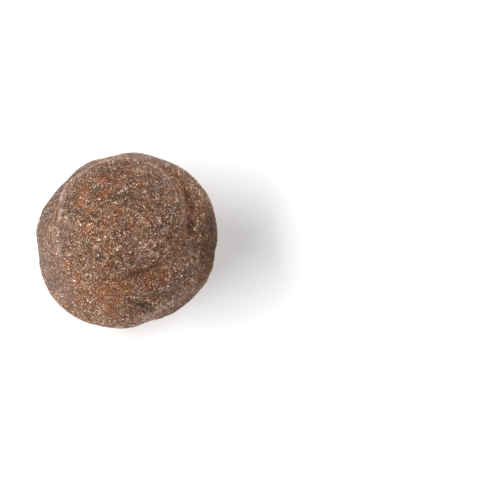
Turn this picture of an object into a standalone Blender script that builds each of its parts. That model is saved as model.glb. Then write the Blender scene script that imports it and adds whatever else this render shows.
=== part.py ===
"""Moqui marble: a sandstone concretion bound by iron oxide, a low domed cap on a wider belly.

Units are metres and +Z is up. The origin lies in the plane of the rest spot, under the
middle of the stone's box. +X is to the right and +Y to the back.
"""
from math import atan2, cos, degrees, exp, pi, radians, sin, sqrt

import bmesh
import bpy
from mathutils import Vector, noise

# The belly: half sizes across, front to back, up and down, seen from its middle.
BELLY_HALF_WIDTH = 0.01595
BELLY_HALF_DEPTH = 0.01570
BELLY_UP = 0.0112
BELLY_DOWN = 0.0129
REST_DEPTH = 0.0125          # how far under the belly's middle the flat rest spot lies

# The cap: a smaller dome that sits a little to the back and left of the belly.
CAP_MIDDLE = Vector((-0.0007, 0.0012, 0.0044))
CAP_HALF_WIDTH = 0.0120
CAP_HALF_DEPTH = 0.0122
CAP_HALF_HEIGHT = 0.0091
CAP_AXIS = Vector((-0.093, 0.173, 1.0))
CAP_EDGE = radians(54)       # the cap's edge, measured from the cap's axis
SEAM_SOFTNESS = 0.0007       # how softly the cap runs into the belly
SOFT_SIDE = 236              # azimuth in degrees where the cap's edge fades out
SOFT_SIDE_SPREAD = 46        # degrees round the cap
SOFT_SIDE_REACH = 17         # degrees in and out from the cap's edge
SOFT_SIDE_SOFTNESS = 0.0019  # added to the softness there

# The mesh: faces along each edge of the cube that is blown up into the stone.
FACES_A_SIDE = 28
CAP_RINGS_END = radians(45)  # the rings are closer together from here on, round the cap's edge
RINGS_SPREAD = radians(93)
RING_CROWDING = 0.45         # 0 spaces those rings evenly
STRAIGHT_CORNER = radians(150)

# Broad swells (+) and flats (-): azimuth and elevation of the middle in degrees from the
# belly's middle, height in metres, and half width in degrees.
BROAD_FORMS = (
    ("swell at the front left", 221, -4, 0.00100, 23),
    ("swell at the left", 175, 2, 0.00060, 11),
    ("flat at the back left", 142, 3, -0.00050, 12),
    ("flat at the back", 110, 12, -0.00040, 11),
    ("swell at the back", 82, 10, 0.00018, 13),
    ("flat at the right", 344, 0, -0.00058, 18),
    ("flat at the front right", 311, -3, -0.00110, 13),
    ("flat at the front", 288, -6, -0.00082, 12),
    ("swell at the front", 260, -12, 0.00035, 12),
)

# Grooves and ridges that run round the cap: azimuth of the middle and half length in degrees,
# degrees outwards from the cap's edge, half width in degrees, and height in metres.
RING_FORMS = (
    ("crease at the front right", 302, 27, 1.0, 4.0, -0.00074),
    ("lip over the front right crease", 306, 26, -5.0, 3.4, 0.00020),
    ("groove at the right", 349, 32, 3.0, 5.0, -0.00074),
    ("groove at the back right", 38, 34, 3.5, 4.4, -0.00058),
    ("lip at the right", 20, 46, -3.0, 3.2, 0.00020),
    ("brim crest at the right", 10, 55, 14.0, 6.0, 0.00030),
    ("ledge line at the back right", 44, 16, -6.4, 1.4, -0.00020),
    ("ridge at the left", 186, 28, -1.5, 3.2, 0.00034),
    ("hollow outside the left ridge", 186, 30, 5.0, 3.8, -0.00042),
    ("edge at the back left", 132, 30, -1.5, 3.2, 0.00022),
    ("groove at the back left", 130, 34, 4.5, 3.6, -0.00036),
    ("edge at the back", 88, 24, 0.0, 3.0, 0.00020),
)
EDGE_WANDER = 3.4            # how far the cap's edge strays from a true ring, in degrees
EDGE_WANDER_PACE = 2.6       # bends of the straying edge, about this many in a radian

# Lumps all over the skin: size across, height, and a shift that picks the pattern.
LUMPS = (
    (0.0080, 0.00034, Vector((3.1, 0.4, 7.7))),
    (0.0036, 0.00022, Vector((1.3, 5.2, 2.9))),
    (0.0019, 0.00010, Vector((8.6, 4.1, 0.3))),
)


def bump(distance, half_width):
    """A smooth bell, 1 in the middle and near 0 two half widths out."""
    return exp(-((distance / half_width) ** 2))


def turned_apart(a, b):
    """The angle in degrees between two azimuths."""
    return (a - b + 180) % 360 - 180


def pointing(turn, polar):
    """The direction at an azimuth and an angle from +Z, both in radians."""
    return Vector((sin(polar) * cos(turn), sin(polar) * sin(turn), cos(polar)))


def belly_radius(direction):
    """Distance from the belly's middle to the belly's skin."""
    half_height = BELLY_UP if direction.z > 0 else BELLY_DOWN
    return 1 / sqrt(
        (direction.x / BELLY_HALF_WIDTH) ** 2
        + (direction.y / BELLY_HALF_DEPTH) ** 2
        + (direction.z / half_height) ** 2
    )


def cap_radius(direction):
    """Distance from the belly's middle to the far side of the cap, or 0 past the cap."""
    scale = Vector((1 / CAP_HALF_WIDTH, 1 / CAP_HALF_DEPTH, 1 / CAP_HALF_HEIGHT))
    along = direction * scale
    middle = CAP_MIDDLE * scale
    a = along.dot(along)
    b = along.dot(middle)
    c = middle.dot(middle) - 1
    inside = b * b - a * c
    return (b + sqrt(inside)) / a if inside > 0 else 0.0


def soft_larger(a, b, softness):
    """The larger of two lengths, rounded where they are nearly the same."""
    return (a + b + sqrt((a - b) ** 2 + softness ** 2)) / 2


def skin_point(cap_direction, direction):
    """The point on the stone's skin in a direction from the belly's middle."""
    azimuth = degrees(atan2(cap_direction.y, cap_direction.x))
    outwards = degrees(cap_direction.angle(Vector((0, 0, 1)), 0.0) - CAP_EDGE)
    outwards += EDGE_WANDER * noise.noise(direction * EDGE_WANDER_PACE)
    fade = bump(turned_apart(azimuth, SOFT_SIDE), SOFT_SIDE_SPREAD) * bump(outwards, SOFT_SIDE_REACH)
    softness = SEAM_SOFTNESS + SOFT_SIDE_SOFTNESS * fade
    radius = soft_larger(belly_radius(direction), cap_radius(direction), softness)
    for _, turn, elevation, height, half_width in BROAD_FORMS:
        middle = pointing(radians(turn), radians(90 - elevation))
        radius += height * bump(degrees(direction.angle(middle, 0.0)), half_width)
    for _, middle, half_length, offset, half_width, height in RING_FORMS:
        along = bump(turned_apart(azimuth, middle), half_length)
        radius += height * along * bump(outwards - offset, half_width)
    point = direction * radius
    for size, height, shift in LUMPS:
        point += direction * height * noise.noise(point / size + shift)
    if point.z < -REST_DEPTH:
        point *= REST_DEPTH / -point.z
        point.z = -REST_DEPTH
    return point


def ring_direction(corner):
    """Turn a point of the cube's skin (-1 to 1) into a direction round the cap's axis.

    The squares round the middle of the cube's top and bottom become rings, so that the
    rows of faces run along the cap's edge.
    """
    reach = max(abs(corner.x), abs(corner.y))
    if reach < 1e-6:
        turn = 0.0
    elif abs(corner.x) >= abs(corner.y):
        turn = pi / 4 * corner.y / corner.x + (pi if corner.x < 0 else 0)
    else:
        turn = pi / 2 - pi / 4 * corner.x / corner.y + (pi if corner.y < 0 else 0)
    if corner.z > 1 - 1e-6:
        polar = CAP_RINGS_END * reach
    elif corner.z < -1 + 1e-6:
        polar = pi - (pi - CAP_RINGS_END - RINGS_SPREAD) * reach
    else:
        down = (1 - corner.z) / 2
        share = down * (1 - RING_CROWDING) + down ** 2 * RING_CROWDING
        polar = CAP_RINGS_END + RINGS_SPREAD * share
    return pointing(turn, polar)


def clear_scene():
    """Remove everything that the scene holds."""
    for item in list(bpy.data.objects):
        bpy.data.objects.remove(item, do_unlink=True)


def stone_mesh():
    """Blow a subdivided cube up into the stone, flat at the rest spot."""
    shape = bmesh.new()
    bmesh.ops.create_cube(shape, size=2)
    bmesh.ops.subdivide_edges(shape, edges=shape.edges[:], cuts=FACES_A_SIDE - 1, use_grid_fill=True)
    cap_tilt = Vector((0, 0, 1)).rotation_difference(CAP_AXIS)
    for vertex in shape.verts:
        cap_direction = ring_direction(vertex.co)
        vertex.co = skin_point(cap_direction, cap_tilt @ cap_direction)
    join_rest_spot(shape)
    split_corner_faces(shape)
    centre_on_box(shape)
    mesh = bpy.data.meshes.new("moqui_marble")
    shape.to_mesh(mesh)
    shape.free()
    return mesh


def join_rest_spot(shape):
    """Make the level faces underneath into one flat face."""
    level = [face for face in shape.faces if max(vertex.co.z for vertex in face.verts) < 1e-7 - REST_DEPTH]
    bmesh.ops.dissolve_faces(shape, faces=level, use_verts=True)


def split_corner_faces(shape):
    """Split the faces at the rings' corners, where three points lie almost in line."""
    straight = [
        face for face in shape.faces
        if len(face.verts) == 4 and max(loop.calc_angle() for loop in face.loops) > STRAIGHT_CORNER
    ]
    bmesh.ops.triangulate(shape, faces=straight, quad_method="SHORT_EDGE")


def centre_on_box(shape):
    """Put the rest spot at z = 0 and the middle of the box on the Z axis."""
    across = [vertex.co.x for vertex in shape.verts]
    deep = [vertex.co.y for vertex in shape.verts]
    middle = Vector(((min(across) + max(across)) / 2, (min(deep) + max(deep)) / 2, -REST_DEPTH))
    bmesh.ops.translate(shape, vec=-middle, verts=shape.verts[:])


def stone_material():
    """Rusty brown, dull, bare stone."""
    material = bpy.data.materials.new("rusty_sandstone")
    material.use_nodes = True
    shader = material.node_tree.nodes["Principled BSDF"]
    shader.inputs["Base Color"].default_value = (0.24, 0.135, 0.092, 1)
    shader.inputs["Roughness"].default_value = 0.85
    shader.inputs["Metallic"].default_value = 0.0
    return material


clear_scene()
stone = bpy.data.objects.new("moqui_marble", stone_mesh())
stone.data.materials.append(stone_material())
bpy.context.scene.collection.objects.link(stone)
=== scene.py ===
from math import cos, radians, sin

import bpy
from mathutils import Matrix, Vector


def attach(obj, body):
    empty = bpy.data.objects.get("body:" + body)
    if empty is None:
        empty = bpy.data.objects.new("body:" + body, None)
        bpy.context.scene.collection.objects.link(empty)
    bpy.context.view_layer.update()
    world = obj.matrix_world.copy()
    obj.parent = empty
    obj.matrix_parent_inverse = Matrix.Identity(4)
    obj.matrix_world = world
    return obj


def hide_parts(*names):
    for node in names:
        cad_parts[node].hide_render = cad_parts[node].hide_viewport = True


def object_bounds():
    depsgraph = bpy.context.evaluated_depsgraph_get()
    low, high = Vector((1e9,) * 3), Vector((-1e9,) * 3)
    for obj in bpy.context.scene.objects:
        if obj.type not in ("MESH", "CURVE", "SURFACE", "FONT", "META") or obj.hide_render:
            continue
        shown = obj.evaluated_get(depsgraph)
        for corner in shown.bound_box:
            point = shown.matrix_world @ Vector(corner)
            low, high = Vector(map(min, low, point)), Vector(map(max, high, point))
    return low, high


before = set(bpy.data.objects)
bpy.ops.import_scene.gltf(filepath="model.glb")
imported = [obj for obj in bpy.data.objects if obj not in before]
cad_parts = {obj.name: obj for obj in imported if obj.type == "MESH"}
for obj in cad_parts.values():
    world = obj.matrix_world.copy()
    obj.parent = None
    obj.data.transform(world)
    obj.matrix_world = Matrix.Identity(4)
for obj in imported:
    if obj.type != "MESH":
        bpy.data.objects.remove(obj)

cad_box = [list(corner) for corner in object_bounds()]

# ---------------------------------------------------------------- camera
# A long lens looks down on the stone from the front, steeply, with the stone at the left
# of the frame.
CAMERA_ELEVATION = radians(74)
CAMERA_LENS = 200.0            # millimetres
CAMERA_SENSOR = 36.0           # its width in millimetres
CAMERA_NEAREST = 0.01          # what is closer to the lens isn't seen
FRAME_PIXELS = 500
PIXEL = 0.0001758              # what a pixel covers at the stone
STONE_LEFT_OF_FRAME = 123.3    # pixels from the frame's middle to the stone's middle
STONE_ABOVE_FRAME = 10.9

stone_low, stone_high = (Vector(corner) for corner in cad_box)
stone_middle = (stone_low + stone_high) / 2
picture_up = Vector((0, sin(CAMERA_ELEVATION), cos(CAMERA_ELEVATION)))
towards_camera = Vector((0, -cos(CAMERA_ELEVATION), sin(CAMERA_ELEVATION)))
aim = stone_middle + Vector((STONE_LEFT_OF_FRAME * PIXEL, 0, 0)) - picture_up * STONE_ABOVE_FRAME * PIXEL
camera_distance = FRAME_PIXELS * PIXEL * CAMERA_LENS / CAMERA_SENSOR

bpy.ops.object.camera_add(
    location=aim + towards_camera * camera_distance,
    rotation=(radians(90) - CAMERA_ELEVATION, 0, 0),
)
camera = bpy.context.object
camera.data.lens = CAMERA_LENS
camera.data.sensor_width = CAMERA_SENSOR
camera.data.clip_start = CAMERA_NEAREST
bpy.context.scene.camera = camera
bpy.context.scene.view_settings.view_transform = "Standard"

# ---------------------------------------------------------------- floor and light
# A plain white table top under three soft lamps: a wide one at the left that gives the
# stone its form and its shadow, and two weak low ones, behind at the right and in front.
FLOOR_SIZE = 3.0
FLOOR_COLOUR = (0.84, 0.84, 0.84, 1)
FLOOR_ROUGHNESS = 0.7
LAMPS = (                      # azimuth, elevation, distance, width, height, power
    ("key_lamp", 190, 35, 0.60, 0.95, 0.50, 10.2),
    ("back_fill_lamp", 47, 19, 0.70, 0.50, 0.22, 6.6),
    ("front_fill_lamp", 272, 14, 0.70, 0.40, 0.18, 2.3),
)
ROOM_COLOUR = (1, 1, 1, 1)
ROOM_STRENGTH = 0.08

bpy.ops.mesh.primitive_plane_add(size=FLOOR_SIZE)
floor = bpy.context.object
floor.name = "table_top"
floor_material = bpy.data.materials.new("white_table")
floor_material.use_nodes = True
floor_shader = floor_material.node_tree.nodes["Principled BSDF"]
floor_shader.inputs["Base Color"].default_value = FLOOR_COLOUR
floor_shader.inputs["Roughness"].default_value = FLOOR_ROUGHNESS
floor.data.materials.append(floor_material)

for name, azimuth, elevation, distance, width, height, power in LAMPS:
    azimuth, elevation = radians(azimuth), radians(elevation)
    direction = Vector((cos(azimuth) * cos(elevation), sin(azimuth) * cos(elevation), sin(elevation)))
    bpy.ops.object.light_add(type="AREA", location=stone_middle + direction * distance)
    lamp = bpy.context.object
    lamp.name = name
    lamp.rotation_euler = direction.to_track_quat("Z", "Y").to_euler()
    lamp.visible_camera = False
    lamp.data.shape = "RECTANGLE"
    lamp.data.size = width
    lamp.data.size_y = height
    lamp.data.energy = power

room = bpy.data.worlds.new("white_room")
room.use_nodes = True
room.node_tree.nodes["Background"].inputs["Color"].default_value = ROOM_COLOUR
room.node_tree.nodes["Background"].inputs["Strength"].default_value = ROOM_STRENGTH
bpy.context.scene.world = room

# ---------------------------------------------------------------- stone body
# The body of the stone: sand bound by brown iron oxide, grown outwards as one lump, with
# a pitted, rain-worn skin. The grains that stand out of it follow in the next section.
MM = 0.001
SKIN_DEPTH = 0.09 * MM         # how far the binder lies under the grains' tips
MERGE_DISTANCE = 0.002 * MM
FORM_ROUNDING = 2              # levels of rounding on the solid's facets
BALL_SIZE = 30 * MM
BALL_SPLITS = 7                # each split cuts a face of the ball in four
MAP_TILES = (3, 2)             # the ball's six sides on its UV map
TILE_MARGIN = 0.006
BODY_RELIEF = ((1.6, 0.10), (0.7, 0.08), (0.45, 0.05))   # size and height of the pitting, in mm


def lone(item):
    """Make one object the only one selected, and the active one."""
    bpy.ops.object.select_all(action="DESELECT")
    item.select_set(True)
    bpy.context.view_layer.objects.active = item


def apply_modifiers(item):
    """Apply all of an object's modifiers, in order."""
    lone(item)
    for modifier in list(item.modifiers):
        bpy.ops.object.modifier_apply(modifier=modifier.name)


def smooth_form(node):
    """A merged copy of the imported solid, with its facets rounded off."""
    form = node.copy()
    form.data = node.data.copy()
    form.name = "smooth_form"
    bpy.context.scene.collection.objects.link(form)
    lone(form)
    bpy.ops.object.mode_set(mode="EDIT")
    bpy.ops.mesh.select_all(action="SELECT")
    bpy.ops.mesh.remove_doubles(threshold=MERGE_DISTANCE)
    bpy.ops.object.mode_set(mode="OBJECT")
    rounding = form.modifiers.new("rounding", "SUBSURF")
    rounding.levels = rounding.render_levels = FORM_ROUNDING
    apply_modifiers(form)
    return form


def lay_out_tiles(mesh):
    """Give each side of the cube its own tile of the UV map."""
    across, down = MAP_TILES
    uv_map = mesh.uv_layers[0]
    uv_map.name = "OFBake"
    corners = ((0, 0), (1, 0), (1, 1), (0, 1))
    filled = 1 - 2 * TILE_MARGIN
    for side in mesh.polygons:
        column, row = side.index % across, side.index // across
        for loop, (u, v) in zip(side.loop_indices, corners):
            place = (column + TILE_MARGIN + filled * u, row + TILE_MARGIN + filled * v)
            uv_map.data[loop].uv = (place[0] / across, place[1] / down)


cad_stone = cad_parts["moqui_marble"]
form = smooth_form(cad_stone)

bpy.ops.object.select_all(action="DESELECT")
bpy.ops.mesh.primitive_cube_add(size=BALL_SIZE, location=stone_middle)
body = bpy.context.object
body.name = "stone_body"
lay_out_tiles(body.data)
bpy.ops.object.mode_set(mode="EDIT")
bpy.ops.mesh.select_all(action="SELECT")
for _ in range(BALL_SPLITS):
    bpy.ops.mesh.subdivide()
bpy.ops.transform.tosphere(value=1)
bpy.ops.object.mode_set(mode="OBJECT")
lone(body)
bpy.ops.object.transform_apply(location=True, rotation=True, scale=True)
bpy.ops.object.shade_smooth()

wrap = body.modifiers.new("wrap", "SHRINKWRAP")
wrap.target = form
wrap.wrap_method = "PROJECT"
wrap.use_negative_direction = True
wrap.use_positive_direction = True
wrap.offset = -SKIN_DEPTH
for number, (size, height) in enumerate(BODY_RELIEF):
    pattern = bpy.data.textures.new(f"skin_relief_{number}", "CLOUDS")
    pattern.noise_scale = size * MM
    pattern.noise_depth = 1
    relief = body.modifiers.new(f"relief_{number}", "DISPLACE")
    relief.texture = pattern
    relief.texture_coords = "LOCAL"
    relief.mid_level = 0.5
    relief.strength = height * MM
apply_modifiers(body)
bpy.data.objects.remove(form, do_unlink=True)

# What growth and weather have left in the skin: rust, olive and umber patches of iron and
# manganese, pale worn places and a smooth mauve coat that buries the grains. With them goes
# painted light: the pale and mauve bands on the rims are painted sheen, and the umber, olive
# and rust on the right flank, in the crease and inside the lip are painted shade. Each is
# kept on the body's mesh as a value from 0 to 1, which its grains take over.
STAINS_AND_PAINTED_LIGHT = {                     # tint, size in mm round the lower side, and from where it shows
    "pale": ((2.20, 2.50, 2.75), 0.9, 0.66),
    "olive": ((0.60, 0.72, 0.73), 2.5, 0.56),
    "umber": ((0.62, 0.53, 0.49), 3.0, 0.56),
    "rust": ((1.07, 0.80, 0.60), 3.0, 0.52),
    "mauve": ((0.92, 1.025, 1.20), 3.5, 0.52),
}
STAIN_AND_SHADE_SPOTS = {                # x and y on the upper side, and radius, in mm
    "pale": (
        (0.2, 5.7, 0.4), (-9.5, 5.5, 0.3), (-11.2, 3.2, 0.3), (-9.9, 1.1, 0.3), (8.9, 4.3, 0.4),
        (5.8, 3.8, 0.4), (11.5, 7.9, 0.6), (12.4, 4.6, 0.3), (13.5, 2.4, 0.4), (3.3, -0.4, 0.4),
        (5.9, 0.0, 0.4), (-4.9, -4.5, 0.4), (-2.8, -3.3, 0.4), (-0.9, -4.7, 0.4), (3.5, -4.9, 0.35),
        (-6.1, -1.0, 0.4), (5.0, -5.5, 0.5), (5.8, -6.2, 0.4), (6.9, -5.6, 0.4), (3.8, -7.7, 0.3),
        (-3.7, -13.2, 0.5), (-4.5, -14.2, 0.4), (1.3, -12.1, 0.3), (7.5, -12.6, 0.35), (8.1, -12.3, 0.5),
        (8.5, -11.9, 0.3), (5.5, -14.0, 0.6), (-8.7, -9.2, 0.3), (-6.3, -12.5, 0.4), (6.7, -3.4, 0.4),
        (-1.2, 2.9, 0.4), (-6.7, 2.7, 0.4), (2.3, 9.5, 0.4), (3.9, 6.7, 0.3), (9.2, 1.4, 0.3),
        (-2.0, -9.2, 0.4), (7.9, -8.7, 0.4), (-9.5, -5.6, 0.4), (-13.1, 0.4, 0.4), (3.9, -1.2, 0.4),
        (-10.6, 2.6, 0.4), (-9.8, -3.4, 0.4), (7.4, -9.4, 0.3), (11.8, -8.6, 0.4), (12.6, 7.2, 0.5),
        (-2.5, -6.4, 0.3), (-0.3, 1.4, 0.3), (7.2, 3.2, 0.3), (8.2, 2.2, 0.3), (7.9, 4.4, 0.3),
        (1.1, -0.1, 0.35), (-1.1, -4.0, 0.3), (-4.2, -6.3, 0.35), (10.9, -8.6, 0.4), (6.4, 2.0, 0.25),
        (-7.6, -0.6, 0.3), (-4.0, -1.6, 0.3), (-8.6, -2.6, 0.35), (-2.2, -1.9, 0.3), (0.3, -11.4, 0.5),
        (9.3, -0.4, 0.3), (7.7, -5.2, 0.25), (4.9, -6.0, 0.25), (0.9, -7.6, 0.25),
    ),
    "olive": (
        (-4.7, 5.6, 0.9), (-1.5, 3.7, 0.9), (0.9, 4.4, 1.1), (-9.4, 2.0, 0.9), (-7.6, 1.6, 0.7),
        (-9.2, 6.5, 0.5), (-3.7, 10.1, 0.9), (-5.9, -4.6, 0.7), (-3.9, -6.5, 0.5), (11.3, 0.3, 0.4),
        (9.2, 3.2, 0.4), (2.5, -13.3, 1.0), (3.6, -13.6, 1.0), (5.0, -11.6, 0.7), (1.5, -7.3, 0.4),
        (-10.7, -4.8, 0.6), (-14.2, -5.0, 0.7), (-13.5, -8.4, 0.7), (-14.2, 3.4, 0.9),
    ),
    # Umber spots on the right flank, from x 13 mm outwards, are painted shade.
    "umber": (
        (0.3, -1.6, 0.5), (8.1, -2.7, 0.6), (13.5, -0.5, 1.2), (13.9, -3.2, 1.2), (11.6, -0.6, 0.7),
        (13.3, -5.2, 0.9), (3.3, -7.4, 0.7), (-0.9, -6.3, 0.6), (-7.2, -6.9, 0.5), (-1.0, 5.2, 0.5),
        (2.9, -13.4, 0.4), (0.0, 2.5, 0.6), (12.0, 3.4, 0.6), (-3.8, 8.9, 0.9), (-1.9, 9.3, 0.9),
        (-5.0, 8.2, 0.6), (-2.6, 7.6, 0.5), (-8.6, 4.8, 0.7), (-5.8, -0.4, 0.4), (5.2, -2.9, 0.3),
        (-9.3, -6.7, 0.7), (-1.6, -13.8, 0.7), (-4.4, 6.0, 0.5), (1.4, 4.4, 0.7), (12.4, -3.0, 0.9),
        (-4.5, -10.4, 0.5), (2.8, 1.0, 0.4), (11.6, 0.8, 0.8), (-0.2, 9.0, 0.7), (-7.2, -0.2, 0.5),
        (6.2, 4.9, 0.45), (0.6, 2.9, 0.4), (-6.7, -9.2, 0.4), (3.4, -14.2, 0.5), (-4.9, 0.6, 0.5),
    ),
    "rust": (
        (-7.0, 5.7, 1.1), (-7.6, 3.5, 0.9), (-3.4, 7.8, 1.1), (0.9, 9.0, 0.7), (8.3, 3.9, 0.6),
        (-4.1, 4.2, 0.7), (-1.0, 1.2, 0.8), (-6.2, 1.4, 0.5), (-6.5, -1.5, 0.8), (-4.9, -2.9, 0.9),
        (-3.4, -0.9, 0.7), (-2.8, -4.6, 0.6), (-2.5, -5.8, 0.5), (-9.7, -6.8, 0.7), (-8.0, -8.8, 0.7),
        (-3.0, -8.2, 0.7), (-1.0, -10.5, 1.3), (0.5, -11.0, 1.0), (-2.8, -11.3, 1.4), (-4.2, -11.9, 1.3),
        (4.5, -9.3, 0.8), (6.5, -8.5, 0.9), (7.0, -9.7, 0.6), (8.5, 6.4, 0.9), (4.2, 0.2, 0.7),
        (8.2, -0.8, 0.5), (11.3, 3.6, 0.8), (11.8, 2.6, 0.9), (10.5, 7.2, 0.7), (6.5, 5.8, 0.5),
        (10.9, -9.6, 0.7), (8.7, 9.8, 0.8), (13.2, 1.4, 0.5), (-6.8, -11.2, 0.7), (-2.5, -13.7, 0.9),
        (-1.5, -15.1, 0.7), (2.7, 6.6, 0.7), (4.2, 2.9, 0.6), (1.3, 0.6, 0.5), (-8.0, -12.4, 0.9),
        (-1.1, 7.2, 0.9), (9.8, 8.2, 0.8), (1.3, -1.3, 0.6), (-1.1, -12.5, 1.1), (-8.2, -9.8, 0.8),
        (-5.4, -6.2, 0.6), (4.6, -12.2, 0.7), (-2.5, -14.2, 0.8), (-12.3, 4.7, 0.6), (-2.8, 4.9, 0.8),
        (13.4, 3.8, 0.8), (-1.6, -0.6, 0.6), (2.7, 5.2, 0.6), (12.4, -9.0, 0.8), (4.0, -10.2, 0.8),
        (5.3, -10.7, 0.6),
    ),
    "mauve": (
        (-10.0, -0.8, 1.1), (-10.6, -2.8, 0.9), (-12.7, -3.7, 1.2), (-10.6, 5.0, 0.7), (5.7, -2.1, 0.7),
        (7.2, -1.3, 0.7), (1.5, -4.0, 0.7), (11.0, -4.1, 1.1), (8.9, -10.4, 1.2), (7.5, -11.2, 1.1),
        (10.6, -9.5, 0.9), (11.3, -7.0, 0.9), (-0.2, -1.0, 0.7), (8.2, 2.6, 0.7), (7.0, 6.6, 0.7),
        (5.3, 5.9, 0.7), (2.8, -6.5, 0.7), (-6.1, -6.3, 0.6), (4.3, 10.7, 0.8), (5.7, 10.0, 0.6),
        (4.8, -5.4, 0.6), (-9.1, 0.9, 0.6), (-9.1, 3.2, 0.5), (-10.4, 7.9, 0.6), (-7.2, 9.9, 0.6),
        (-7.9, -1.8, 0.6), (-4.6, -4.9, 0.5), (-11.2, -6.1, 0.7), (-10.9, -7.9, 0.7), (8.2, -5.3, 0.6),
        (3.6, -8.2, 0.6), (1.2, -7.2, 0.5), (-3.6, 8.7, 0.6), (-8.9, -5.0, 0.7), (-9.7, 0.9, 0.7),
        (-4.4, -2.2, 0.6), (-6.6, 10.8, 0.7), (5.8, -9.8, 0.5), (7.2, -9.9, 0.5), (-1.9, -12.0, 0.5),
        (10.6, -0.9, 0.5),
    ),
}
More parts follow.
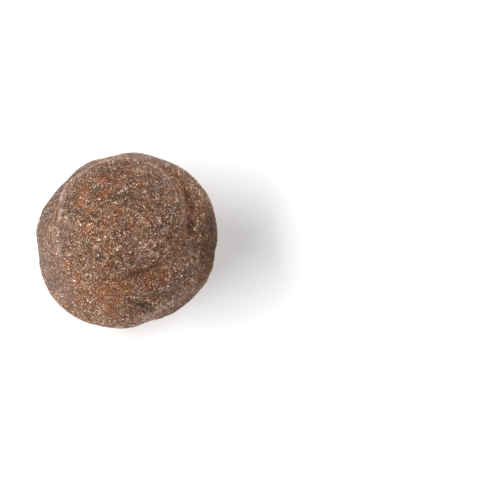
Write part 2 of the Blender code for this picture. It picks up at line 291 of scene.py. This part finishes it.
STAIN_AND_PAINTED_LIGHT_LINES = (                # stains and painted light with their strengths; half width, height, and x and y along it, in mm
    # the cap's lip, round the left and the back
    ((("coat", 0.9), ("mauve", 1.0), ("pale", 0.40)), 0.58, 0.20, (
        (-11.3, -0.2), (-11.1, 1.6), (-10.9, 3.4), (-10.9, 5.0), (-10.8, 6.3), (-10.2, 7.4), (-9.4, 8.3),
        (-8.3, 9.0), (-6.9, 9.9), (-5.6, 11.0), (-4.2, 11.8), (-2.6, 12.2), (-1.2, 12.2), (0.6, 12.1),
        (2.2, 11.8),
    )),
    # the lip running out at the left
    ((("mauve", 1.0), ("pale", 0.18)), 0.50, 0.10, (
        (-11.3, -0.2), (-11.3, -1.8), (-11.1, -3.4), (-10.8, -5.0),
    )),
    # the lip at the right, and the second lines beside it
    ((("coat", 0.8), ("mauve", 1.0), ("pale", 0.36)), 0.42, 0.20, (
        (2.2, 11.8), (4.3, 11.2), (6.0, 10.0), (7.4, 8.4), (8.3, 6.6), (8.9, 4.3),
    )),
    ((("coat", 0.8), ("mauve", 1.0), ("pale", 0.32)), 0.26, 0.18, (
        (4.7, 9.5), (6.1, 8.3), (7.3, 7.1), (8.0, 5.6),
    )),
    ((("coat", 0.6), ("mauve", 1.0), ("pale", 0.22)), 0.30, 0.17, (
        (-9.6, 10.4), (-7.8, 11.6), (-5.6, 11.9), (-3.5, 12.6),
    )),
    # the belly's left rim and the smoother band inside it, greyed with mauve and olive: painted sheen where
    # the light grazes the rim
    ((("mauve", 1.0), ("olive", 0.40)), 1.80, 0.00, (
        (-7.1, 12.6), (-9.9, 10.8), (-12.5, 7.0), (-13.9, 4.1), (-14.9, 1.1), (-15.2, -1.6), (-14.6, -4.8),
        (-13.4, -7.8), (-12.4, -9.4),
    )),
    ((("mauve", 0.7),), 2.60, 0.00, (
        (-8.0, 11.0), (-11.5, 6.5), (-12.8, 2.5), (-13.0, -1.5), (-12.2, -5.5), (-11.0, -8.8), (-9.8, -10.9),
    )),
    # the groove outside the lip
    ((("umber", 0.15), ("rust", 0.25)), 0.45, -0.08, (
        (-12.1, 0.7), (-11.9, 2.9), (-11.8, 5.0), (-11.0, 8.3), (-9.2, 9.7), (-7.3, 10.6), (-5.1, 11.9),
        (-2.8, 12.9), (0.0, 13.1), (2.4, 12.8), (4.7, 12.0),
    )),
    # the back rim, paler and greyer: painted sheen where the light grazes it
    ((("mauve", 1.0), ("pale", 0.34)), 1.50, 0.00, ((-7.0, 12.7), (-5.2, 13.0), (-3.4, 13.3))),
    ((("mauve", 1.0), ("pale", 0.31)), 1.80, 0.00, ((-1.2, 13.8), (2.1, 14.2), (4.5, 13.9), (6.9, 12.9))),
    # paler places on the cap
    ((("pale", 0.23),), 1.20, 0.00, ((7.6, 5.2), (8.0, 3.4), (7.7, 1.6))),
    ((("pale", 0.33),), 1.30, 0.00, ((2.0, -3.6), (3.6, -4.6), (5.0, -4.4))),
    ((("pale", 0.22),), 0.80, 0.00, ((-4.2, -3.7), (-2.0, -3.8))),
    ((("pale", 0.10),), 3.00, 0.00, ((-10.3, -1.0), (-3.5, -1.0))),
    # the front right rim, paler and greyer: painted sheen where the light grazes it
    ((("mauve", 0.7), ("pale", 0.42)), 1.20, 0.00, (
        (3.0, -15.0), (5.6, -13.9), (7.5, -12.9), (9.0, -11.9), (10.3, -10.8), (11.4, -9.8),
    )),
    # the right flank, darkened with umber and olive: painted shade, as of a stone lying beside it, with rust
    # for the warm light bounced off that stone; and its swelling
    ((("umber", 1.0), ("olive", 0.9), ("rust", 0.9)), 3.20, 0.00, (
        (14.9, 2.0), (15.2, 0.3), (15.1, -1.4), (14.9, -2.9),
    )),
    ((("umber", 0.7), ("olive", 0.4), ("rust", 1.0)), 1.80, 0.00, ((15.0, -4.0), (14.3, -5.8), (13.5, -7.3))),
    ((("umber", 0.2),), 2.40, 0.38, ((15.1, -1.6), (15.0, -3.0), (14.7, -4.4))),
    # the dark patch in front; and the crease with its deep middle and shallow end, darkened with umber and
    # olive: painted shade under the cap's edge
    ((("olive", 0.5), ("umber", 0.2)), 0.90, 0.00, ((2.4, -12.4), (3.4, -12.2), (4.6, -11.8))),
    ((("umber", 0.4),), 0.90, -0.02, (
        (-1.0, -9.3), (1.0, -9.0), (2.6, -8.5), (4.0, -7.9), (5.5, -7.2), (6.9, -6.2),
    )),
    ((("umber", 0.7), ("olive", 0.5)), 0.36, -0.07, (
        (0.4, -9.2), (1.7, -8.8), (2.6, -8.4), (4.0, -7.9), (4.8, -7.6), (5.5, -7.3), (6.3, -6.9),
    )),
    ((("umber", 0.35), ("olive", 0.3)), 0.36, -0.03, ((6.3, -6.9), (7.0, -6.3), (7.6, -5.5))),
    # the shallow groove inside the lip, darkened with umber and olive: painted shadow of the lip
    ((("umber", 0.2), ("olive", 0.35)), 0.45, -0.06, (
        (-9.5, 4.6), (-9.1, 6.8), (-7.8, 7.9), (-6.3, 8.8), (-4.4, 9.9), (-2.5, 10.8), (-0.1, 11.0),
        (2.0, 10.7),
    )),
    # the edge over the crease, raised and paler
    ((("pale", 0.33),), 0.70, 0.06, ((4.6, -6.9), (6.2, -6.3), (7.0, -5.4), (7.8, -4.4), (8.2, -3.4))),
    # the silted valley outside the lip at the right; its faint pale wash is painted light that lifts the
    # valley's shade
    ((("rust", 0.2), ("coat", 0.35), ("pale", 0.07)), 1.10, 0.31, (
        (7.0, 11.4), (8.0, 10.2), (9.3, 8.6), (10.2, 7.1), (10.9, 5.7), (11.2, 4.2), (11.4, 2.6),
        (11.4, 1.2),
    )),
)
SPOT_EDGES = (1.8, 0.2)        # where a spot starts and where it is full, in radii
LINE_EDGES = (1.6, 0.3)        # and a line, in half widths
RAGGED_SCALE = 700.0           # waves a metre in the edges of stains
RAGGED = 0.9 * MM              # how far a spot's edge strays
LINE_RAGGED = 0.33 * MM        # and a line's
LINE_PATCHES = 1.5 * MM        # worn and whole lengths of a line
LINE_WORN = (0.36, 0.58)       # from where it is worn away to where it is whole
LINE_WORN_HEIGHT = 0.6         # share of a line's height that is left where it is worn
LINE_WHOLE_HEIGHT = 0.5        # and how much more there is where it is whole
UPPER_SIDE = (9 * MM, 13 * MM)  # the named spots take over from the scattered ones
SCATTER_SHIFT = 0.11           # keeps one stain's scattered patches off the next one's
SCATTER_EDGE = 0.10
FORM_BLURS = 60                # times that places are averaged, to find hollows and edges
COAT_SIZE = 2.2 * MM           # the smooth coat's patches, and from where to where they thicken
COAT_PATCHES = (0.50, 0.62)
COAT_HOLLOWS = (0.02, 0.12)    # the hollows that it fills, by their depth in mm
COAT_STRENGTHS = {"patches": 0.27, "mauve": 0.38, "hollows": 0.6, "rust": 0.24}


class Wire:
    """One output in a node tree. A sum written with wires adds its own Math nodes."""

    def __init__(self, tree, socket=None):
        self.tree = tree
        self.socket = socket

    def node(self, kind, values=None, output=0, stops=None, **settings):
        """Add a node: its settings first, then its sockets' values or wires."""
        node = self.tree.nodes.new(kind)
        for name, value in settings.items():
            setattr(node, name, value)
        if stops:
            elements = node.color_ramp.elements
            while len(elements) < len(stops):
                elements.new(0.5)
            for element, (place, colour) in zip(elements, stops):
                element.position = place
                element.color = (*colour, 1)
        for name, value in (values or {}).items():
            if isinstance(value, Wire):
                self.tree.links.new(value.socket, node.inputs[name])
            else:
                node.inputs[name].default_value = value
        return Wire(self.tree, None if output is None else node.outputs[output])

    def other(self, output):
        """Another output of the same node."""
        return Wire(self.tree, self.socket.node.outputs[output])

    def maths(self, operation, *values, clamp=False):
        """A Math node, or a Vector Math node where a value is a vector."""
        with_vectors = any(
            isinstance(value, Vector) or isinstance(value, Wire) and value.socket.type == "VECTOR"
            for value in values
        )
        if not with_vectors:
            return self.node("ShaderNodeMath", dict(enumerate(values)), operation=operation, use_clamp=clamp)
        spread = {
            place: (value, value, value) if isinstance(value, (int, float)) else value
            for place, value in enumerate(values)
        }
        output = "Value" if operation in ("DISTANCE", "DOT_PRODUCT", "LENGTH") else "Vector"
        return self.node("ShaderNodeVectorMath", spread, output=output, operation=operation)

    def __add__(self, other):
        return self.maths("ADD", self, other)

    def __sub__(self, other):
        return self.maths("SUBTRACT", self, other)

    def __rsub__(self, other):
        return self.maths("SUBTRACT", other, self)

    def __mul__(self, other):
        return self.maths("MULTIPLY", self, other)

    def __truediv__(self, other):
        return self.maths("DIVIDE", self, other)

    __radd__ = __add__
    __rmul__ = __mul__

    def between(self, low, high):
        """0 below low, 1 above high and smooth in the middle."""
        values = {"Value": self, "From Min": low, "From Max": high}
        return self.node("ShaderNodeMapRange", values, interpolation_type="SMOOTHSTEP")

    def mixed(self, a, b, blend="MIX"):
        """Colour a where this wire is 0 and colour b, or a blended with b, where it is 1."""
        values = {0: self}
        for place, colour in ((6, a), (7, b)):
            values[place] = colour if isinstance(colour, Wire) else (*colour, 1)
        return self.node("ShaderNodeMix", values, output=2, data_type="RGBA", blend_type=blend)

    def multiplied(self, a, b):
        """The product of two colours."""
        values = {0: 1.0, 6: a, 7: b}
        return self.node("ShaderNodeMix", values, output=2, data_type="RGBA", blend_type="MULTIPLY")


def recall(wire, name, data_type):
    """Read a value that was kept under a name."""
    return wire.node(
        "GeometryNodeInputNamedAttribute", {"Name": name}, output="Attribute", data_type=data_type
    )


def store(wire, geometry, name, value, domain, data_type):
    """Keep a value on the geometry under a name."""
    values = {"Geometry": geometry, "Name": name, "Value": value}
    return wire.node("GeometryNodeStoreNamedAttribute", values, domain=domain, data_type=data_type)


def on_skin(x, y):
    """The place on the upper side of the body over x and y."""
    return body.ray_cast(Vector((x * MM, y * MM, 1)), Vector((0, 0, -1)))[1]


def line_reach(place, corners):
    """How far a place is from a line along the skin."""
    reach = None
    for start, end in zip(corners, corners[1:]):
        along = end - start
        part = (place - start).maths("DOT_PRODUCT", place - start, along / along.length_squared)
        part = part.maths("ADD", part, 0.0, clamp=True)
        nearest = part.maths("MULTIPLY", part, along) + start
        span = place.maths("DISTANCE", place, nearest)
        reach = span if reach is None else reach.maths("MINIMUM", reach, span)
    return reach


# The stains, the painted light and shade, the hollows and the coat are worked out on the skin.
tree = bpy.data.node_groups.new("weathering_and_painted_light", "GeometryNodeTree")
tree.interface.new_socket("Geometry", in_out="INPUT", socket_type="NodeSocketGeometry")
tree.interface.new_socket("Geometry", in_out="OUTPUT", socket_type="NodeSocketGeometry")
wire = Wire(tree)
skin = wire.node("NodeGroupInput")
place = wire.node("GeometryNodeInputPosition")
stray = wire.node(
    "ShaderNodeTexNoise", {"Vector": place, "Scale": RAGGED_SCALE, "Detail": 3.0}, output="Color"
)
astray = stray - Vector((0.5, 0.5, 0.5))
spot_place = place + astray * (2 * RAGGED)
line_place = place + astray * (2 * LINE_RAGGED)
height = wire.node("ShaderNodeSeparateXYZ", {0: place}, output="Z")
on_upper_side = height.between(*UPPER_SIDE)
outwards = wire.node("GeometryNodeInputNormal")
lines = {name: [] for name in (*STAINS_AND_PAINTED_LIGHT, "coat")}
lengths = wire.node("ShaderNodeTexNoise", {"Vector": place, "Scale": 1 / LINE_PATCHES, "Detail": 2.0})
whole = lengths.between(*LINE_WORN)
rise = 0.0
for strengths, half_width, line_height, corners in STAIN_AND_PAINTED_LIGHT_LINES:
    reach = line_reach(line_place, [on_skin(x, y) for x, y in corners])
    line_start, line_full = (edge * half_width * MM for edge in LINE_EDGES)
    line = reach.between(line_start, line_full)
    for name, strength in strengths:
        worn_line = line * whole if name in ("coat", "pale") else line
        lines[name].append(worn_line * strength)
    if line_height:
        rise = line * (whole * LINE_WHOLE_HEIGHT + LINE_WORN_HEIGHT) * (line_height * MM) + rise
skin = wire.node("GeometryNodeSetPosition", {"Geometry": skin, "Offset": outwards * rise})
stains_and_painted_light = {}
for number, (name, (_, size, threshold)) in enumerate(STAINS_AND_PAINTED_LIGHT.items()):
    away = Vector((SCATTER_SHIFT * number, 0, 0))
    scattered = wire.node(
        "ShaderNodeTexNoise", {"Vector": place + away, "Scale": 1 / (size * MM), "Detail": 3.0}
    )
    tint_share = scattered.between(threshold, threshold + SCATTER_EDGE) * (1 - on_upper_side)
    for x, y, radius in STAIN_AND_SHADE_SPOTS[name]:
        reach = spot_place.maths("DISTANCE", spot_place, on_skin(x, y))
        spot_start, spot_full = (edge * radius * MM for edge in SPOT_EDGES)
        tint_share = tint_share.maths("MAXIMUM", tint_share, reach.between(spot_start, spot_full))
    for line in lines[name]:
        tint_share = tint_share.maths("MAXIMUM", tint_share, line)
    stains_and_painted_light[name] = tint_share
    skin = store(wire, skin, name, tint_share, "POINT", "FLOAT")
broad_form = wire.node(
    "GeometryNodeBlurAttribute", {"Value": place, "Iterations": FORM_BLURS}, data_type="FLOAT_VECTOR"
)
depth = outwards.maths("DOT_PRODUCT", outwards, broad_form - place) * (1 / MM)
skin = store(wire, skin, "depth", depth, "POINT", "FLOAT")
thick_patches = wire.node("ShaderNodeTexNoise", {"Vector": place, "Scale": 1 / COAT_SIZE, "Detail": 2.0})
coat = thick_patches.between(*COAT_PATCHES) * COAT_STRENGTHS["patches"]
coat_on_stains = [stains_and_painted_light[name] * COAT_STRENGTHS[name] for name in ("mauve", "rust")]
coat_in_hollows = depth.between(*COAT_HOLLOWS) * COAT_STRENGTHS["hollows"]
for cover in (*coat_on_stains, coat_in_hollows, *lines["coat"]):
    coat = coat.maths("MAXIMUM", coat, cover)
skin = store(wire, skin, "coat", coat, "POINT", "FLOAT")
wire.node("NodeGroupOutput", {"Geometry": skin}, output=None)
weathering_and_painted_light = body.modifiers.new("weathering_and_painted_light", "NODES")
weathering_and_painted_light.node_group = tree
apply_modifiers(body)

# The binder's own colour is a dark brown. Patches richer and poorer in iron change it, and
# so do the hollows, redder with oxide and darker with painted shade, the edges, paler with
# wear and with a painted highlight, and all the stains and painted light above; they change
# the grains in the same way.
COAT_COLOUR = (0.248, 0.143, 0.094)
COAT_COVERS = 0.55             # how much of the grains' own colour a thick coat hides
IRON_SIZE = 2.0 * MM           # the largest patches of more and less iron
IRON_RICH = (0.84, 0.79, 0.74)
IRON_RICH_BAND = (0.54, 0.34)  # from where in its pattern each tint starts to where it is full
IRON_POOR = (1.26, 1.31, 1.36)
IRON_POOR_BAND = (0.53, 0.70)
# Redder in the hollows, as iron oxide gathers there, and darker: painted shade.
HOLLOW_OXIDE_AND_SHADE = (0.98, 0.88, 0.80)
HOLLOW_DEPTHS = (-0.02, 0.14)  # in mm, from where it starts to where it is full
# Paler and greyer on the edges: wear, and a painted highlight.
EDGE_WEAR_AND_HIGHLIGHT = (1.12, 1.16, 1.20)
EDGE_DEPTHS = (-0.10, -0.22)
MINERAL_SIZE = 1.8 * MM        # patches a shade yellower or pinker
MINERAL_TINTS = ((0.99, 1.015, 0.985), (1.01, 0.985, 1.015))
MINERAL_BAND = (0.35, 0.65)
BINDER_COLOURS = (
    (0.30, (0.036, 0.015, 0.008)), (0.52, (0.104, 0.048, 0.026)), (0.72, (0.215, 0.115, 0.069)),
)
BINDER_MOTTLE_SCALE = 3000.0
BINDER_ROUGHNESS = 0.6
BINDER_GLOSS = 0.12
BINDER_BUMP = 0.06 * MM
ROUGHNESS_SPREAD = 0.3
SHEEN = 0.03
SHEEN_ROUGHNESS = 0.5


def kept_value(wire, name):
    """A value that the mesh carries, for use in a material."""
    return wire.node("ShaderNodeAttribute", output="Fac", attribute_name=name)


def weathered_and_painted(wire, colour):
    """A colour of the clean stone, changed by the stains and the painted light and shade that the skin
    carries there.
    """
    spot = wire.node("ShaderNodeTexCoord", output="Object")
    iron = wire.node(
        "ShaderNodeTexNoise", {"Vector": spot, "Scale": 1 / IRON_SIZE, "Detail": 4.0, "Roughness": 0.6}
    )
    colour = (kept_value(wire, "coat") * COAT_COVERS).mixed(colour, COAT_COLOUR)
    colour = iron.between(*IRON_RICH_BAND).mixed(colour, IRON_RICH, "MULTIPLY")
    colour = iron.between(*IRON_POOR_BAND).mixed(colour, IRON_POOR, "MULTIPLY")
    minerals = wire.node("ShaderNodeTexNoise", {"Vector": spot, "Scale": 1 / MINERAL_SIZE, "Detail": 1.5})
    mineral_tint = minerals.between(*MINERAL_BAND).mixed(*MINERAL_TINTS)
    colour = wire.multiplied(colour, mineral_tint)
    for name, (tint, _, _) in STAINS_AND_PAINTED_LIGHT.items():
        colour = kept_value(wire, name).mixed(colour, tint, "MULTIPLY")
    depth = kept_value(wire, "depth")
    colour = depth.between(*HOLLOW_DEPTHS).mixed(colour, HOLLOW_OXIDE_AND_SHADE, "MULTIPLY")
    return depth.between(*EDGE_DEPTHS).mixed(colour, EDGE_WEAR_AND_HIGHLIGHT, "MULTIPLY")


def stone_shader(material, colour, roughness, gloss, bump_height, bump_distance):
    """Finish a stone's material from its wires."""
    shader = material.node_tree.nodes["Principled BSDF"]
    shader.inputs["Sheen Weight"].default_value = SHEEN
    shader.inputs["Sheen Roughness"].default_value = SHEEN_ROUGHNESS
    shader.inputs["Specular IOR Level"].default_value = gloss
    bump = {"Height": bump_height, "Distance": bump_distance}
    links = material.node_tree.links
    links.new(colour.socket, shader.inputs["Base Color"])
    links.new(roughness.socket, shader.inputs["Roughness"])
    links.new(colour.node("ShaderNodeBump", bump).socket, shader.inputs["Normal"])


stone_material = bpy.data.materials.new("iron_bound_sand")
stone_material.use_nodes = True
body.data.materials.append(stone_material)
wire = Wire(stone_material.node_tree)
spot = wire.node("ShaderNodeTexCoord", output="Object")
mottle = wire.node("ShaderNodeTexNoise", {"Vector": spot, "Scale": BINDER_MOTTLE_SCALE, "Detail": 3.0})
binder = wire.node("ShaderNodeValToRGB", {"Fac": mottle}, stops=BINDER_COLOURS, output="Color")
binder_roughness = mottle * ROUGHNESS_SPREAD + BINDER_ROUGHNESS
stone_shader(stone_material, weathered_and_painted(wire, binder), binder_roughness, BINDER_GLOSS, mottle, BINDER_BUMP)

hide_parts("moqui_marble")
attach(body, "root")

# ---------------------------------------------------------------- sand grains
# Rounded quartz grains, bedded in the binder to about half their depth and standing out
# of the worn skin. Most wear a coat of iron oxide, some are bare and pale, some black.
GRAIN_GAP = 0.200 * MM         # least distance between two grains' middles
GRAINS_A_SQUARE_METRE = 60e6   # more than the gap lets through
GRAIN_SMALLEST = Vector((0.105, 0.095, 0.060)) * MM   # half sizes along, across and through the skin
GRAIN_LARGEST = Vector((0.200, 0.165, 0.100)) * MM
GRAIN_SUNK = (0.00 * MM, 0.06 * MM)  # how far a grain's middle lies under the skin
COAT_SINKS = 0.025 * MM        # how much further it lies where the coat is thick
GRAIN_ROUGHNESS = 0.07 * MM    # how far its corners are pushed about
GRAIN_ROUGHNESS_SCALE = 4500.0
GRAIN_CELLS = 92               # cells along each side of the grains' UV map
GRAIN_IN_CELL = 0.42           # a grain's half size on its cell
TABLE_TOP = Vector((-1, -1, 0))   # no grain reaches under its height
COATED = (
    (0.00, (0.036, 0.015, 0.008)), (0.22, (0.122, 0.057, 0.032)), (0.50, (0.246, 0.134, 0.084)),
    (0.75, (0.335, 0.209, 0.144)), (0.93, (0.422, 0.295, 0.214)), (1.00, (0.580, 0.438, 0.330)),
)
BARE = ((0.00, (0.395, 0.278, 0.192)), (0.70, (0.560, 0.432, 0.320)), (1.00, (0.950, 0.860, 0.715)))
BLACK = ((0.00, (0.016, 0.009, 0.005)), (1.00, (0.055, 0.029, 0.017)))
GRAIN_HUES = ((1.03, 0.965, 0.91), (0.975, 1.02, 1.07))   # from grain to grain
GRAIN_KINDS = (                # name, lot, colours, roughness, gloss
    ("coated_grains_a", 0.00, 0.22, COATED, 0.62, 0.15),
    ("coated_grains_b", 0.22, 0.44, COATED, 0.62, 0.15),
    ("coated_grains_c", 0.44, 0.66, COATED, 0.62, 0.15),
    ("coated_grains_d", 0.66, 0.86, COATED, 0.62, 0.15),
    ("bare_grains", 0.86, 0.91, BARE, 0.38, 0.35),
    ("black_grains", 0.91, 1.01, BLACK, 0.50, 0.15),
)
FROSTING_SCALE = 9000.0        # the frosted face of a grain, and how much it changes the shade
FROSTING_SHADES = 0.3
CLUSTER_SCALE = 1600.0         # grains of like shade lie together
CLUSTER_SHADES = 0.65
GRAIN_BUMP = 0.02 * MM


def random_number(wire, low, high, seed):
    """A random number for each grain."""
    return wire.node("FunctionNodeRandomValue", {2: low, 3: high, "Seed": seed}, output=1, data_type="FLOAT")


def random_vector(wire, low, high, seed):
    """A random vector for each grain."""
    values = {0: low, 1: high, "Seed": seed}
    return wire.node("FunctionNodeRandomValue", values, output=0, data_type="FLOAT_VECTOR")


def grain_shape(wire):
    """One plain grain, a half size of 1 all round, with its place on the map of its own cell."""
    grain = wire.node("GeometryNodeMeshIcoSphere", {"Radius": 1.0, "Subdivisions": 1})
    flat_place = wire.node("GeometryNodeInputPosition") * GRAIN_IN_CELL + Vector((0.5, 0.5, 0.0))
    return store(wire, grain, "OFBake", flat_place, "CORNER", "FLOAT2")


def scattered_grains(name, low, high):
    """A mesh of the grains whose lot falls from low to high, bedded in the body's skin."""
    tree = bpy.data.node_groups.new(name, "GeometryNodeTree")
    tree.interface.new_socket("Geometry", in_out="OUTPUT", socket_type="NodeSocketGeometry")
    wire = Wire(tree)
    skin = wire.node("GeometryNodeObjectInfo", {"Object": body}, output="Geometry")
    places = wire.node(
        "GeometryNodeDistributePointsOnFaces",
        {"Mesh": skin, "Distance Min": GRAIN_GAP, "Density Max": GRAINS_A_SQUARE_METRE, "Seed": 4},
        distribute_method="POISSON",
    )
    lot = random_number(wire, 0.0, 1.0, 11)
    drawn = lot.maths("GREATER_THAN", lot, low) * lot.maths("LESS_THAN", lot, high)
    sinking = random_number(wire, *GRAIN_SUNK, 12) + recall(wire, "coat", "FLOAT") * COAT_SINKS
    inwards = places.other("Normal") * (sinking * -1)
    sunk = wire.node("GeometryNodeSetPosition", {"Geometry": places, "Offset": inwards})
    grains = wire.node(
        "GeometryNodeInstanceOnPoints",
        {
            "Points": sunk,
            "Selection": drawn,
            "Instance": grain_shape(wire),
            "Rotation": places.other("Rotation"),
            "Scale": random_vector(wire, GRAIN_SMALLEST, GRAIN_LARGEST, 13),
        },
    )
    grains = store(wire, grains, "tint", random_number(wire, 0.0, 1.0, 14), "INSTANCE", "FLOAT")
    grains = store(wire, grains, "hue", random_number(wire, 0.0, 1.0, 15), "INSTANCE", "FLOAT")
    grains = store(wire, grains, "number", wire.node("GeometryNodeInputIndex"), "INSTANCE", "FLOAT")
    grains = wire.node("GeometryNodeRealizeInstances", {"Geometry": grains})
    place = wire.node("GeometryNodeInputPosition")
    push = wire.node(
        "ShaderNodeTexNoise", {"Vector": place, "Scale": GRAIN_ROUGHNESS_SCALE, "Detail": 0.0}, output="Color"
    )
    pushed = place + (push - Vector((0.5, 0.5, 0.5))) * (2 * GRAIN_ROUGHNESS)
    over_floor = pushed.maths("MAXIMUM", pushed, TABLE_TOP)
    grains = wire.node("GeometryNodeSetPosition", {"Geometry": grains, "Position": over_floor})
    number = recall(wire, "number", "FLOAT")
    row = (number / GRAIN_CELLS).maths("FLOOR", number / GRAIN_CELLS)
    column = number - row * GRAIN_CELLS
    cell = wire.node("ShaderNodeCombineXYZ", {"X": column, "Y": row})
    on_map = (recall(wire, "OFBake", "FLOAT_VECTOR") + cell) * (1 / GRAIN_CELLS)
    grains = store(wire, grains, "OFBake", on_map, "CORNER", "FLOAT2")
    grains = wire.node("GeometryNodeSetShadeSmooth", {"Geometry": grains})
    wire.node("NodeGroupOutput", {"Geometry": grains}, output=None)

    bpy.ops.object.select_all(action="DESELECT")
    bpy.ops.mesh.primitive_cube_add(size=MM)
    piece = bpy.context.object
    piece.name = name
    scatter = piece.modifiers.new("scatter", "NODES")
    scatter.node_group = tree
    apply_modifiers(piece)
    piece.data.materials.clear()
    return piece


for name, low, high, colours, roughness, gloss in GRAIN_KINDS:
    grains = scattered_grains(name, low, high)
    material = bpy.data.materials.new(name)
    material.use_nodes = True
    grains.data.materials.append(material)
    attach(grains, "root")
    wire = Wire(material.node_tree)
    spot = wire.node("ShaderNodeTexCoord", output="Object")
    frosting = wire.node("ShaderNodeTexNoise", {"Vector": spot, "Scale": FROSTING_SCALE, "Detail": 2.0})
    cluster = wire.node("ShaderNodeTexNoise", {"Vector": spot, "Scale": CLUSTER_SCALE, "Detail": 1.0})
    shade = kept_value(wire, "tint") + (frosting - 0.5) * FROSTING_SHADES + (cluster - 0.5) * CLUSTER_SHADES
    colour = wire.node("ShaderNodeValToRGB", {"Fac": shade}, stops=colours, output="Color")
    hue = kept_value(wire, "hue").mixed(*GRAIN_HUES)
    colour = weathered_and_painted(wire, wire.multiplied(colour, hue))
    grain_roughness = frosting * ROUGHNESS_SPREAD + (roughness - ROUGHNESS_SPREAD / 2)
    stone_shader(material, colour, grain_roughness, gloss, frosting, GRAIN_BUMP)
